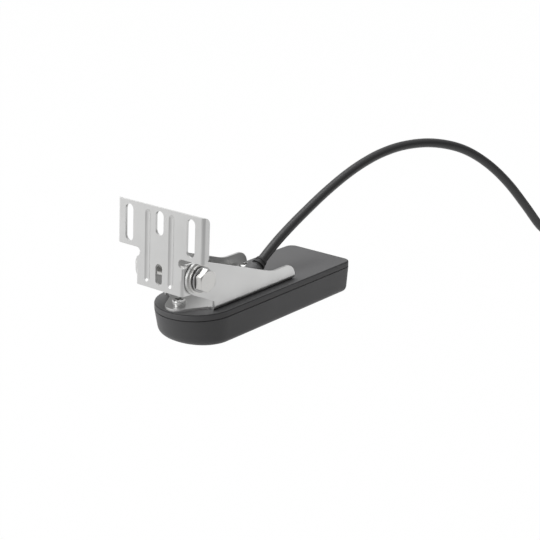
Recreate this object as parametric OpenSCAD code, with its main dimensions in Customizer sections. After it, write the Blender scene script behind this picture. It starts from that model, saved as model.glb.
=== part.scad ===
// Transom-mount sonar transducer: a sealed housing with two ceramic elements, a folded
// bracket on its cover, a slotted transom bracket that tilts on a hex bolt, and a cable
// with a round plug. X runs aft from the round nose, Z up from the flat underside.

/* [Housing] */
// Length of the housing, nose to tail
body_l = 141; // [132:1:170]
// Width of the housing, twice the nose radius
body_w = 50; // [48:1:60]
// Height of the housing
body_h = 21; // [20:0.5:28]
// Radius of the lower edge
bottom_r = 4.2; // [3.6:0.1:6]
// Lean of the side walls, in degrees
side_lean = 4.5; // [0:0.5:6]
// Plan radius of the two tail corners, at the underside
tail_foot_r = 0.3; // [0.2:0.1:3]
// Thickness of the housing wall
wall = 2.6; // [2.4:0.1:3.2]
// Thickness of the underside, under the elements
floor_t = 3; // [2:0.5:4]
// Height of the cover's rim above the parting groove
cover_h = 3.6; // [2.8:0.1:4.2]
// Radius of the cover's upper edge
cover_edge_r = 1.1; // [0.4:0.1:1.4]
// Width of the parting groove
groove_w = 0.5; // [0.4:0.1:0.8]
// Depth of the parting groove, to the seal
groove_d = 0.7; // [0.4:0.1:1]
// Width of the flat seal in the groove
seal_w = 1.3; // [1:0.1:1.4]
// Depth of the cover's locating rim inside the wall
rim_h = 2.5; // [1.5:0.5:4]
// Thickness of the locating rim
rim_t = 1.6; // [1.2:0.2:2.4]
// Play of the locating rim inside the wall
rim_gap = 0.2; // [0.1:0.05:0.4]

/* [Transducer bracket] */
// Thickness of both folded sheets
sheet_t = 1.5; // [1.2:0.1:2.2]
// Inside radius of the transducer bracket's folds
bend_r = 1.4; // [1:0.1:2]
// Width over the ears
bracket_w = 40; // [38:0.2:42]
// Nose screw, aft of the nose tip
nose_setback = 10; // [8.5:0.5:14]
// Radius of the tongue round the nose screw
tongue_r = 8.2; // [7:0.2:9]
// Taper of the tongue's sides, in degrees
tongue_taper = 32; // [20:1:36]
// Front of the ears, aft of the nose screw
ear_setback = 8; // [6:0.5:10]
// Length of the ears along the cover
ear_l = 72; // [66:1:80]
// Height of the strip at the tail of the ears
strip_h = 10.2; // [9:0.1:13]
// Radius of the ears' tail corner
ear_tail_r = 8; // [4:0.5:9]
// Slope of the ears' upper edge, in degrees
ear_slope = 20; // [16:0.5:24]
// Slope of the ears' lower front edge, in degrees
ear_front_slope = 26; // [20:1:30]
// Radius of the pivot boss on each ear
boss_r = 9.7; // [9:0.1:11]
// Radius that blends the slope into the strip
blend_r = 25; // [10:1:30]
// Radius of the relief at the end of each fold
relief_r = 1.6; // [1:0.1:2]

/* [Pivot] */
// Pivot, aft of the nose tip
pivot_setback = 5.5; // [4.5:0.5:9]
// Pivot height above the cover
pivot_h = 23; // [21:0.5:26]
// Diameter of the pivot bolt
bolt_d = 8; // [6:0.5:8]
// Width across the flats of the bolt head and nut
hex_af = 12; // [11.5:0.5:14]
// Height of the bolt head
head_t = 4; // [3:0.1:6]
// Outside diameter of the bolt's washer
washer_od = 17; // [16:0.5:19]
// Thickness of the bolt's washer
washer_t = 1.6; // [1.2:0.1:2.4]
// Outside diameter of the bolt's spring washer
spring_od = 14.8; // [13.5:0.1:16]
// Thickness of the bolt's spring washer
spring_t = 1.8; // [1.2:0.1:2.4]
// Thickness of the thin nut
nut_t = 4; // [3:0.5:6]
// Length of bolt past the nut
bolt_proud = 0.6; // [0.2:0.2:3]
// Play of the bolt in the fixed ears, on the radius
bolt_gap = 0.2; // [0.1:0.05:0.4]
// Play of the tilting ears on the bolt, on the radius
pivot_gap = 0.08; // [0.03:0.01:0.1]
// Play between the two pairs of ears, each side
ear_gap = 0.3; // [0.2:0.05:0.6]
// Lean of the transom bracket at rest, top aft, in degrees
rest_tilt = 3.6; // [0:0.2:8]

/* [Transom bracket] */
// Front face of the plate, ahead of the pivot
plate_lead = 11.3; // [10.5:0.1:14]
// Inside radius of the plate's folds
plate_bend_r = 0.4; // [0.2:0.1:1]
// Width over the side flanges
plate_w = 66; // [62:1:72]
// Top edge above the pivot
plate_up = 38.5; // [37.5:0.5:44]
// Lower edge of the wings above the pivot
wing_up = 12.6; // [12.4:0.1:14]
// Depth of the side flanges
flange_d = 5; // [4.5:0.5:9]
// Corner radius of the side flanges
flange_r = 4; // [2:0.5:4.5]
// Radius of the lower ears round the pivot
lower_ear_r = 9; // [8:0.5:9.5]
// Radius of the fold reliefs under the wings
notch_r = 2.8; // [2:0.1:3]
// Fold reliefs, in from the sides of the lower ears
notch_in = 0.6; // [0.4:0.2:2]
// Spacing of the two long slots
slot_pitch = 47.4; // [44:0.2:50]
// Width of the mounting slots
slot_w = 6.2; // [5:0.2:7]
// Length of the two long slots
slot_l = 21.6; // [16:0.2:23]
// Centre of the long slots above the pivot
slot_up = 25.7; // [25:0.1:26]
// Length of the centre slot
mid_slot_l = 14; // [10:0.5:16]
// Centre of the centre slot above the pivot
mid_slot_up = 29.6; // [27:0.2:30]
// Width of the lower slot, in front of the bolt
low_slot_w = 5.2; // [4:0.2:6]
// Length of the lower slot
low_slot_l = 12.4; // [10:0.2:14]
// Spacing of the two pressed grooves
rib_pitch = 18.2; // [16:0.2:20]
// Width of the pressed grooves
rib_w = 4.2; // [3:0.2:5]
// Depth of the pressed grooves
rib_d = 0.8; // [0.5:0.1:1.2]
// Lower end of the grooves, below the pivot
rib_down = 6; // [4:0.5:7]
// Upper end of the grooves, above the pivot
rib_up = 36; // [30:0.5:37]

/* [Bracket screws] */
// Diameter of the bracket screws
screw_d = 4; // [3.5:0.5:4.5]
// Diameter of the screw heads
screw_head_d = 8; // [7:0.5:8.5]
// Height of the screw heads
screw_head_h = 2.4; // [2:0.2:3.2]
// Length of the screws under the head
screw_l = 13; // [11:0.5:14]
// Outside diameter of the lock washers
lock_washer_od = 7.4; // [6.6:0.2:8]
// Thickness of the lock washers
lock_washer_t = 1; // [0.6:0.1:1.4]
// Play of the screws in the sheet and cover, on the radius
screw_gap = 0.25; // [0.1:0.05:0.4]
// Rear screws, ahead of the bracket's tail
rear_screw_in = 9; // [7:0.5:12]
// Spacing of the two rear screws
rear_pitch = 24; // [23.5:0.5:25]
// Outside diameter of the threaded inserts
insert_od = 6; // [5.6:0.2:7]
// Length of the threaded inserts
insert_l = 8; // [6:0.5:9]
// Wall of the bosses round the inserts
insert_wall = 1.6; // [1.2:0.1:2.2]
// Play between an insert and its screw or boss, on the radius
insert_gap = 0.05; // [0.02:0.01:0.1]

/* [Elements] */
// Diameter of the round ceramic element
disc_d = 24; // [16:1:26]
// Thickness of the round element
disc_t = 5; // [3:0.5:6]
// Length of the bar element
bar_l = 56; // [40:1:60]
// Width of the bar element
bar_w = 11; // [6:0.5:12]
// Thickness of the bar element
bar_t = 5; // [3:0.5:6]
// Thickness of the foam behind both elements
foam_t = 3; // [2:0.5:3.5]
// Tail end of the bar, ahead of the housing's tail
bar_in = 12; // [9:1:16]
// Room round the elements in the housing
element_gap = 1.5; // [1:0.5:3]
// Length of the circuit board
board_l = 28; // [20:1:34]
// Width of the circuit board
board_w = 30; // [20:1:34]
// Thickness of the circuit board
board_t = 1.6; // [1:0.2:2]
// Diameter of the temperature sensor
probe_d = 4.4; // [3:0.2:6]
// Height of the temperature sensor
probe_h = 6; // [4:0.5:8]

/* [Cable] */
// Diameter of the cable
cable_d = 6; // [5:0.2:7]
// Cable's way out, ahead of the bracket's tail
exit_in = 21.5; // [18:0.5:24]
// Rise of the cable at its way out, in degrees
exit_angle = 34; // [28:1:45]
// Diameter of the cover's cable boss
exit_boss_d = 12; // [11:0.5:13]
// Length of the cover's cable boss
exit_boss_l = 10; // [8:0.5:12]
// Room between the cable boss and the bracket's slot
exit_slot_gap = 1.2; // [0.6:0.1:1.8]
// Diameter of the strain relief at the boss
relief_d = 9.6; // [9:0.2:10.4]
// Diameter of the strain relief's stem in the boss
stem_d = 7.6; // [7:0.2:8]
// Play of the stem in the boss, on the radius
stem_gap = 0.1; // [0.05:0.05:0.2]
// Length of the strain relief beyond the boss
relief_l = 7; // [5:0.5:16]
// Wall of the strain relief at its tip
relief_tip = 0.5; // [0.3:0.1:1]
// Turns of cable across the coil
coil_across = 5; // [4:1:6]
// Layers of cable in the coil
coil_layers = 5; // [4:1:6]
// Mean radius of the coil's turns
coil_r = 38; // [36:1:42]
// Width of the coil's tie
tie_w = 12; // [8:1:16]
// Thickness of the coil's tie
tie_t = 1.2; // [0.8:0.1:2]
// Play of the tie round the coil
tie_gap = 0.3; // [0.1:0.1:0.6]

/* [Plug] */
// Diameter of the plug's barrel
barrel_d = 14; // [13:0.5:15]
// Length of the plug's barrel
barrel_l = 24; // [20:1:30]
// Length of the plug's tapered tail
plug_tail_l = 16; // [12:1:20]
// Wall of the tapered tail round the cable
plug_tail_wall = 1.2; // [0.8:0.1:2]
// Diameter of the shoulder behind the collar
shoulder_d = 16; // [15.5:0.5:17]
// Thickness of the shoulder
shoulder_t = 3; // [2:0.5:4]
// Outside diameter of the locking collar
collar_d = 18; // [17:0.5:20]
// Length of the locking collar
collar_l = 13; // [10:0.5:14]
// Play between the collar and the shoulder
collar_side_gap = 0.3; // [0.2:0.05:0.6]
// Grip flutes round the locking collar
flutes = 18; // [12:1:24]
// Radius of the grip flutes
flute_r = 0.7; // [0.4:0.1:1]
// Plain rim at each end of the flutes
flute_rim = 1.5; // [1:0.5:3]
// Play of the collar on the barrel, on the radius
collar_gap = 0.08; // [0.03:0.01:0.1]
// Diameter of the contact insert
insert_face_d = 10; // [9:0.5:11]
// Depth of the contact insert
insert_face_l = 12; // [8:1:16]
// Number of contacts
contacts = 4; // [2:1:6]
// Diameter of each contact
contact_d = 1.8; // [1.2:0.2:2]
// Diameter of the circle of contacts
contact_pcd = 5.4; // [4.6:0.2:6]
// Depth of the contacts below the insert's face
contact_sunk = 0.5; // [0.2:0.1:1]
// Floor of the insert behind the contacts
contact_floor = 2; // [1:0.5:3]
// Thickness of the plug's seal ring
ring_t = 1.4; // [1:0.2:2]

/* [Hidden] */
$fn = 64;

// Extra length that a cut runs past a face
past = 1;

// Housing
half_w = body_w / 2;
nose_tip = -body_l / 2;
nose_x = nose_tip + half_w;
tail_x = body_l / 2;
cover_z = body_h - cover_h;
parting_z = cover_z - groove_w;
neck_in = groove_d + seal_w;
cavity_r = bottom_r - wall;
foot_in = (bottom_r + (parting_z - bottom_r) * sin(side_lean)) / cos(side_lean);
tail_r = tail_foot_r + foot_in;
least_corner = 0.3;
rim_in = wall + rim_gap + (rim_h + past) * tan(side_lean);

// Transducer bracket
fold_r = bend_r + sheet_t;
screw_x = nose_tip + nose_setback;
ear_x = screw_x + ear_setback;
ear_end = ear_x + ear_l;
sheet_top = body_h + sheet_t;
strip_z = body_h + strip_h;

// Bracket screws
rear_x = ear_end - rear_screw_in;
screw_places = [[screw_x, 0], [rear_x, -rear_pitch / 2], [rear_x, rear_pitch / 2]];
screw_turn = 20;
recess_l = 0.6 * screw_head_d;
recess_w = 0.16 * screw_head_d;
split_w = 0.6;
split_slant = 20;

// Pivot and transom bracket
pivot_x = nose_tip + pivot_setback;
pivot_z = body_h + pivot_h;
front_x = pivot_x - plate_lead;
lower_w = bracket_w - 2 * sheet_t - 2 * ear_gap;
spring_y = bracket_w / 2 + washer_t;
bolt_y = spring_y + spring_t;
nut_y = bracket_w / 2;
hex_d = hex_af / cos(30);
hex_chamfer = 0.8;
hex_face_d = hex_af - 0.4;

// Elements
insert_boss_d = insert_od + 2 * insert_gap + 2 * insert_wall;
insert_low = cover_z - insert_l;
foam_top = floor_t + bar_t + foam_t;
bar_end = tail_x - bar_in;
disc_x = screw_x + (insert_boss_d + disc_d) / 2 + element_gap;
probe_x = disc_x + (disc_d + probe_d) / 2 + element_gap;

// Cable
exit_x = ear_end - exit_in;
exit_dir = [cos(exit_angle), 0, sin(exit_angle)];
exit_at = [exit_x, 0, body_h];
relief_end = exit_at + (exit_boss_l + relief_l) * exit_dir;
relief_rings = 2;
relief_tip_d = cable_d + 2 * relief_tip;
boss_reach = exit_boss_d / 2 / sin(exit_angle);
slot_half = exit_boss_d / 2 + exit_slot_gap;
coil_at = [424, -30, 0];
coil_w = coil_across * cable_d;
coil_h = coil_layers * cable_d;
coil_in = coil_r - (coil_w - cable_d) / 2;
coil_top = coil_h + cable_d / 2;
tie_angle = 100;
tie_lift = tie_t + tie_gap;
lead_points = [
    [39, -0.3, 45.4], [52, -1.2, 52], [69, -3.2, 60.8], [86, -6.1, 69], [101, -9.5, 75.2], [116, -13.7, 79.8],
    [132, -19, 82.3], [150, -26, 82], [167, -33.5, 78.2], [181, -40.3, 71.8], [195, -47.7, 61.2],
    [208.5, -55, 47], [221.5, -62.2, 29.5], [233, -68.3, 13.5], [242.5, -72.6, 6], [253, -76.4, 3.4],
    [268, -79.2, 3], [300, -80, 3], [350, -80, 3], [415, -80, 3]
];

// Plug
plug_clear = 0.2;
plug_step = 10;
plug_back = 8;
plug_x = coil_at[0] + coil_in + plug_step;
plug_y = coil_at[1] - plug_back;
plug_z = coil_h + collar_d / 2 + plug_clear;
// Way from the coil's inner turn up to the plug: angle, share outwards, height above the top turns
tail_way = [
    [170, 0, -6], [200, 0, -3], [230, 0, 0], [260, 0.26, 0], [290, 0.74, 0], [315, 0.96, 1], [332, 1.02, 4]
];
tail_points = concat(
    [for (w = tail_way) coil_at + (coil_in + w[1] * plug_step) * [cos(w[0]), sin(w[0]), 0]
        + [0, 0, coil_top + w[2]]],
    [[plug_x, plug_y, plug_z]]
);
insert_y = plug_tail_l + barrel_l - insert_face_l;
contact_turn = 45;

// Shared shapes

// Half of a wall section: flat underside, round lower edge, leaning side
module hull_profile(hw, z0, z1, rb) {
    round_x = hw - (rb + (z1 - z0 - rb) * sin(side_lean)) / cos(side_lean);
    round_at = [round_x, z0 + rb];
    side_at = round_at + rb * [cos(side_lean), -sin(side_lean)];
    polygon([[0, z0], [round_x, z0], round_at, side_at, [hw, z1], [0, z1]]);
    translate(round_at) circle(rb);
}

// Half of a cover section: square below, round upper edge
module cover_profile(hw, z0, z1, rt) {
    translate([0, z0]) square([hw - rt, z1 - z0]);
    translate([0, z0]) square([hw, z1 - z0 - rt]);
    translate([hw - rt, z1 - rt]) circle(rt);
}

// Whole form of the housing from one half section: a revolved nose, straight sides, the tail and its
// two revolved corners
module body_form(inset, z0, z1) {
    hw = half_w - inset;
    end = tail_x - inset;
    corner = max(tail_r - inset, least_corner);
    translate([nose_x, 0, 0]) rotate([0, 0, 90]) rotate_extrude(angle = 180, $fn = 128) children();
    translate([nose_x, 0, 0]) rotate([90, 0, 90]) linear_extrude(end - corner - nose_x) {
        children();
        mirror([1, 0]) children();
    }
    translate([end - hw, hw - corner, 0]) rotate([90, 0, 0]) linear_extrude(2 * (hw - corner)) children();
    for (s = [-1, 1]) translate([end - corner, s * (hw - corner), 0]) rotate(45 * (s - 1))
        rotate_extrude(angle = 90) intersection() {
            translate([corner - hw, 0]) children();
            translate([0, z0]) square([corner, z1 - z0]);
        }
}

// A square-sided band of the housing's plan
module body_band(inset, z0, z1) {
    body_form(inset, z0, z1) translate([0, z0]) square([half_w - inset, z1 - z0]);
}

// Rectangle of width w and height h, standing on y = 0, with two round lower corners
module round_foot(w, h, r) {
    translate([r - w / 2, 0]) square([w - 2 * r, h]);
    translate([-w / 2, r]) square([w, h - r]);
    for (s = [-1, 1]) translate([s * (w / 2 - r), r]) circle(r);
}

// Section of a folded channel: a web on y = 0 and two upright sides, inside radius r
module channel_section(w, h, r) {
    difference() {
        round_foot(w, h, r + sheet_t);
        translate([0, sheet_t]) round_foot(w - 2 * sheet_t, h, r);
    }
}

// Slot along y, centred, with round ends
module slot_plan(w, l) {
    square([w, l - w], center = true);
    for (s = [-1, 1]) translate([0, s * (l - w) / 2]) circle(w / 2);
}

// Turns a side outline, drawn in X and Z, into a solid of width w across Y
module across(w) {
    translate([0, w / 2, 0]) rotate([90, 0, 0]) linear_extrude(w) children();
}

// Places a shape drawn along +Z so that it points along the cable's way out
module along_exit(s) {
    translate(exit_at + s * exit_dir) rotate([0, 90 - exit_angle, 0]) children();
}

// Pan-head screw with a cross recess, the underside of its head at z = 0
module pan_screw() {
    edge = screw_head_h / 2;
    difference() {
        rotate_extrude() {
            square([screw_head_d / 2, screw_head_h - edge]);
            square([screw_head_d / 2 - edge, screw_head_h]);
            translate([screw_head_d / 2 - edge, screw_head_h - edge]) circle(edge);
        }
        for (a = [0, 90]) rotate(a + screw_turn) translate([0, 0, screw_head_h])
            cube([recess_l, recess_w, screw_head_h], center = true);
        translate([0, 0, screw_head_h / 3]) cylinder(h = screw_head_h, d = recess_l / 2);
    }
    translate([0, 0, -screw_l]) cylinder(h = screw_l + screw_head_h / 4, d = screw_d);
}

// Split spring ring of diameter d and thickness t, its underside at z = 0
module split_ring(d, t, bore_r) {
    difference() {
        cylinder(h = t, d = d);
        translate([0, 0, -past]) cylinder(h = t + 2 * past, r = bore_r);
        rotate([split_slant, 0, 3 * split_slant]) translate([0, -split_w / 2, -2 * past])
            cube([d, split_w, t + 4 * past]);
    }
}

// Lock washer under a bracket screw's head
module lock_washer() {
    split_ring(lock_washer_od, lock_washer_t, screw_d / 2 + screw_gap);
}

// Hexagon of the bolt's size with chamfered outer corners, two corners up and down
module hex_block(t) {
    intersection() {
        rotate(30) cylinder(h = t, d = hex_d, $fn = 6);
        union() {
            cylinder(h = t - hex_chamfer, d = hex_d + past);
            translate([0, 0, t - hex_chamfer])
                cylinder(h = hex_chamfer, d1 = hex_d + hex_chamfer, d2 = hex_face_d);
        }
    }
}

// Tube of diameter d through a list of points, by a ring of corners at each point
module tube(points, d) {
    n = 10;
    last = len(points) - 1;
    step = [for (i = [0:last]) points[min(i + 1, last)] - points[max(i - 1, 0)]];
    side = [for (v = step) let (c = cross(v, [0, 0, 1])) c / norm(c)];
    lift = [for (i = [0:last]) let (c = cross(side[i], step[i])) c / norm(c)];
    ring = [for (i = [0:last], k = [0:n - 1])
        points[i] + d / 2 * (cos(360 * k / n) * side[i] + sin(360 * k / n) * lift[i])];
    walls = [for (i = [0:last - 1], k = [0:n - 1]) let (a = i * n + k, b = i * n + (k + 1) % n)
        [a, b, b + n, a + n]];
    polyhedron(ring, concat([[for (k = [n - 1:-1:0]) k]], walls, [[for (k = [0:n - 1]) last * n + k]]));
}

// Housing

module housing() {
    color("#2f3033") difference() {
        body_form(0, 0, parting_z) hull_profile(half_w, 0, parting_z, bottom_r);
        body_form(wall, floor_t, parting_z + past)
            hull_profile(half_w - wall, floor_t, parting_z + past, cavity_r);
    }
}

// Lid with its locating rim, insert bosses and slanted cable boss
module top_cover() {
    color("#3a3b3e") difference() {
        union() {
            body_form(0, cover_z, body_h) cover_profile(half_w, cover_z, body_h, cover_edge_r);
            body_band(neck_in, parting_z, cover_z);
            difference() {
                body_band(rim_in, parting_z - rim_h, parting_z);
                body_band(rim_in + rim_t, parting_z - rim_h - past, parting_z + past);
            }
            for (p = screw_places) translate([p[0], p[1], insert_low])
                cylinder(h = cover_z - insert_low, d = insert_boss_d);
            difference() {
                along_exit(-exit_boss_d) cylinder(h = exit_boss_d + exit_boss_l, d = exit_boss_d);
                translate([exit_x - body_l / 2, -half_w, cover_z - body_h]) cube([body_l, body_w, body_h]);
            }
        }
        for (p = screw_places) translate([p[0], p[1], insert_low - past]) {
            cylinder(h = body_h, r = screw_d / 2 + screw_gap);
            cylinder(h = insert_l + past, d = insert_od + 2 * insert_gap);
        }
        along_exit(-2 * exit_boss_d)
            cylinder(h = 2 * exit_boss_d + exit_boss_l + past, r = stem_d / 2 + stem_gap);
    }
}

// Flat ring between the wall and the cover, at the bottom of the groove
module cover_seal() {
    color("#101010") difference() {
        body_band(groove_d, parting_z, cover_z);
        body_band(neck_in, parting_z - past, cover_z + past);
    }
}

module screw_inserts() {
    color("#b08d4a") for (p = screw_places) translate([p[0], p[1], insert_low]) difference() {
        cylinder(h = insert_l, d = insert_od);
        translate([0, 0, -past]) cylinder(h = insert_l + 2 * past, r = screw_d / 2 + insert_gap);
    }
}

// Elements

module sonar_disc() {
    color("#8f7f63") translate([disc_x, 0, floor_t]) cylinder(h = disc_t, d = disc_d);
}

module disc_backing() {
    color("#5a5a58") translate([disc_x, 0, floor_t + disc_t]) cylinder(h = foam_t, d = disc_d);
}

module scan_bar() {
    color("#8f7f63") translate([bar_end - bar_l, -bar_w / 2, floor_t]) cube([bar_l, bar_w, bar_t]);
}

module bar_backing() {
    color("#5a5a58") translate([bar_end - bar_l, -bar_w / 2, floor_t + bar_t]) cube([bar_l, bar_w, foam_t]);
}

// Matching board, resting on the bar's foam
module circuit_board() {
    color("#27603a") translate([bar_end - board_l, -board_w / 2, foam_top]) cube([board_l, board_w, board_t]);
}

// Temperature sensor, a stud with a narrower top
module temperature_probe() {
    color("#b08d4a") translate([probe_x, 0, floor_t]) {
        cylinder(h = probe_h - probe_d / 4, d = probe_d);
        cylinder(h = probe_h, d = probe_d / 2);
    }
}

// Transducer bracket

// Side outline of the ears: boss, sloped upper edge, blend, strip and round tail corner
module ear_outline() {
    pivot = [pivot_x, pivot_z];
    top_at = pivot + boss_r * [sin(ear_slope), cos(ear_slope)];
    low_at = pivot - boss_r * [sin(ear_front_slope), cos(ear_front_slope)];
    kink = [top_at[0] + (top_at[1] - strip_z) / tan(ear_slope), strip_z];
    blend = blend_r * tan(ear_slope / 2);
    front_z = low_at[1] - (ear_x - low_at[0]) * tan(ear_front_slope);
    translate(pivot) circle(boss_r);
    polygon([
        pivot, top_at, kink, [ear_end - ear_tail_r, strip_z], [ear_end - ear_tail_r, strip_z - ear_tail_r],
        [ear_end, strip_z - ear_tail_r], [ear_end, body_h], [ear_x, body_h], [ear_x, front_z], low_at
    ]);
    translate([ear_end - ear_tail_r, strip_z - ear_tail_r]) circle(ear_tail_r);
    difference() {
        polygon([kink - [0, past], kink - blend * [cos(ear_slope), -sin(ear_slope)], kink + [blend, 0]]);
        translate(kink + [blend, blend_r]) circle(blend_r, $fn = 128);
    }
}

// Round tongue under the nose screw, widening to the ears
module tongue_plan() {
    side = tongue_r * [-sin(tongue_taper), cos(tongue_taper)];
    wide = (tongue_r + ear_setback * sin(tongue_taper)) / cos(tongue_taper);
    translate([screw_x, 0]) {
        circle(tongue_r);
        polygon([
            side, [ear_setback, wide], [ear_setback + fold_r, wide],
            [ear_setback + fold_r, -wide], [ear_setback, -wide], [side[0], -side[1]]
        ]);
    }
}

module transducer_bracket() {
    channel_h = pivot_h + boss_r + past;
    color("#c4c6c8") difference() {
        union() {
            intersection() {
                translate([pivot_x - 2 * boss_r, 0, body_h]) rotate([90, 0, 90])
                    linear_extrude(ear_end - pivot_x + 3 * boss_r) channel_section(bracket_w, channel_h, bend_r);
                across(bracket_w + past) ear_outline();
            }
            translate([0, 0, body_h]) linear_extrude(sheet_t) tongue_plan();
        }
        translate([pivot_x, 0, pivot_z]) rotate([90, 0, 0])
            cylinder(h = bracket_w + past, r = bolt_d / 2 + bolt_gap, center = true);
        for (p = screw_places) translate([p[0], p[1], body_h - past])
            cylinder(h = sheet_t + 2 * past, r = screw_d / 2 + screw_gap);
        for (s = [-1, 1]) translate([ear_x, s * (bracket_w / 2 - fold_r), body_h - past])
            cylinder(h = sheet_t + 2 * past, r = relief_r);
        // Open slot round the foot of the cable boss
        translate([exit_x - boss_reach + exit_boss_d / 2, 0, body_h - past]) linear_extrude(sheet_t + 2 * past) {
            circle(slot_half);
            translate([0, -slot_half]) square([ear_end - exit_x + boss_reach, 2 * slot_half]);
        }
    }
}

module nose_screw() {
    color("#d8d8d8") translate([screw_x, 0, sheet_top + lock_washer_t]) pan_screw();
}

module nose_washer() {
    color("#bdbdbd") translate([screw_x, 0, sheet_top]) lock_washer();
}

module rear_screws() {
    color("#d8d8d8") for (s = [-1, 1]) translate([rear_x, s * rear_pitch / 2, sheet_top + lock_washer_t])
        pan_screw();
}

module rear_washers() {
    color("#bdbdbd") for (s = [-1, 1]) translate([rear_x, s * rear_pitch / 2, sheet_top]) lock_washer();
}

// Transom bracket

// Round-bottomed form of the pressed grooves, its centre line ahead of the plate
module rib_form(extra) {
    reach = (pow(rib_w / 2, 2) - pow(rib_d, 2)) / (2 * rib_d);
    low = pivot_z - rib_down + rib_w / 2;
    high = pivot_z + rib_up - rib_w / 2;
    for (s = [-1, 1]) translate([front_x - reach, s * rib_pitch / 2, 0]) {
        translate([0, 0, low]) cylinder(h = high - low, r = reach + rib_d + extra);
        for (z = [low, high]) translate([0, 0, z]) sphere(reach + rib_d + extra);
    }
}

// Cuts a slot through the plate
module plate_slot(y, up, w, l) {
    translate([front_x - past, y, pivot_z + up]) rotate([90, 0, 90])
        linear_extrude(sheet_t + 2 * past) slot_plan(w, l);
}

// Side outline of the wings: the plate's edge and the round-cornered flanges
module wing_outline() {
    low = pivot_z + wing_up;
    high = pivot_z + plate_up;
    translate([front_x, low]) square([max(sheet_t, flange_d - flange_r), high - low]);
    translate([front_x, low + flange_r]) square([flange_d, high - low - 2 * flange_r]);
    for (z = [low + flange_r, high - flange_r]) translate([front_x + flange_d - flange_r, z]) circle(flange_r);
}

// Folded plate before it is tilted: wings with flanges above, ears round the pivot below
module transom_sheet() {
    wing_z = pivot_z + wing_up;
    top_z = pivot_z + plate_up;
    web_half = lower_w / 2 - notch_in;
    difference() {
        union() {
            intersection() {
                translate([front_x, 0, wing_z]) linear_extrude(top_z - wing_z)
                    rotate(-90) channel_section(plate_w, flange_d + past, plate_bend_r);
                across(plate_w + past) wing_outline();
            }
            intersection() {
                translate([front_x, 0, pivot_z - lower_ear_r]) linear_extrude(2 * lower_ear_r)
                    rotate(-90) channel_section(lower_w, plate_lead + lower_ear_r + past, plate_bend_r);
                across(lower_w + past) {
                    translate([front_x, pivot_z - lower_ear_r]) square([plate_lead, 2 * lower_ear_r]);
                    translate([pivot_x, pivot_z]) circle(lower_ear_r);
                }
            }
            translate([front_x, -web_half, pivot_z]) cube([sheet_t, 2 * web_half, wing_up + past]);
            intersection() {
                rib_form(sheet_t);
                translate([front_x + sheet_t / 2, -plate_w / 2, 0]) cube([flange_d, plate_w, top_z]);
            }
        }
        rib_form(0);
        for (s = [-1, 1]) plate_slot(s * slot_pitch / 2, slot_up, slot_w, slot_l);
        plate_slot(0, mid_slot_up, slot_w, mid_slot_l);
        plate_slot(0, 0, low_slot_w, low_slot_l);
        for (s = [-1, 1]) translate([front_x - past, s * web_half, wing_z - notch_r])
            rotate([0, 90, 0]) cylinder(h = plate_bend_r + sheet_t + 2 * past, r = notch_r);
        translate([pivot_x, 0, pivot_z]) rotate([90, 0, 0])
            cylinder(h = lower_w + past, r = bolt_d / 2 + pivot_gap, center = true);
    }
}

module transom_bracket() {
    color("#c9cbcd") translate([pivot_x, 0, pivot_z]) rotate([0, rest_tilt, 0])
        translate([-pivot_x, 0, -pivot_z]) transom_sheet();
}

// Pivot bolt with its head on the -Y side
module pivot_bolt() {
    color("#d4d4d2") translate([pivot_x, -bolt_y, pivot_z]) {
        rotate([90, 0, 0]) hex_block(head_t);
        rotate([-90, 0, 0]) cylinder(h = bolt_y + nut_y + nut_t + bolt_proud, d = bolt_d);
    }
}

module bolt_washer() {
    color("#bdbdbd") translate([pivot_x, -bracket_w / 2, pivot_z]) rotate([90, 0, 0]) difference() {
        cylinder(h = washer_t, d = washer_od);
        translate([0, 0, -past]) cylinder(h = washer_t + 2 * past, r = bolt_d / 2 + bolt_gap);
    }
}

// Split spring washer under the bolt's head
module spring_washer() {
    color("#cacaca") translate([pivot_x, -spring_y, pivot_z]) rotate([90, 0, 0])
        split_ring(spring_od, spring_t, bolt_d / 2 + bolt_gap);
}

module pivot_nut() {
    color("#cfcfcd") translate([pivot_x, nut_y, pivot_z]) rotate([-90, 0, 0]) difference() {
        hex_block(nut_t);
        translate([0, 0, -past]) cylinder(h = nut_t + 2 * past, r = bolt_d / 2 + insert_gap);
    }
}

// Cable

// Stem in the cover's boss and a short stepped boot, to where the cable bends
module strain_relief() {
    ring_w = relief_l / (2 * relief_rings + 1);
    color("#1c1c1d") along_exit(0) {
        cylinder(h = exit_boss_l, d = stem_d);
        translate([0, 0, exit_boss_l]) difference() {
            cylinder(h = relief_l, d1 = relief_d, d2 = relief_tip_d);
            for (i = [1:relief_rings]) translate([0, 0, (2 * i - 1) * ring_w]) difference() {
                cylinder(h = ring_w, d = relief_d + past);
                translate([0, 0, -past]) cylinder(h = ring_w + 2 * past, d = relief_tip_d - relief_tip);
            }
        }
    }
}

module cable() {
    color("#232324") tube(concat([relief_end], lead_points), cable_d);
}

// Outer shape of the wound length, lifted over the tie
module cable_coil() {
    color("#232324") translate(coil_at) difference() {
        rotate_extrude($fn = 96) translate([coil_r - coil_w / 2, 0]) square([coil_w, coil_h]);
        rotate(tie_angle) translate([coil_r - coil_w / 2 - past, -tie_w / 2 - tie_gap, -past])
            cube([coil_w + 2 * past, tie_w + 2 * tie_gap, tie_lift + past]);
    }
}

module cable_tail() {
    color("#232324") tube(tail_points, cable_d);
}

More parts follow.
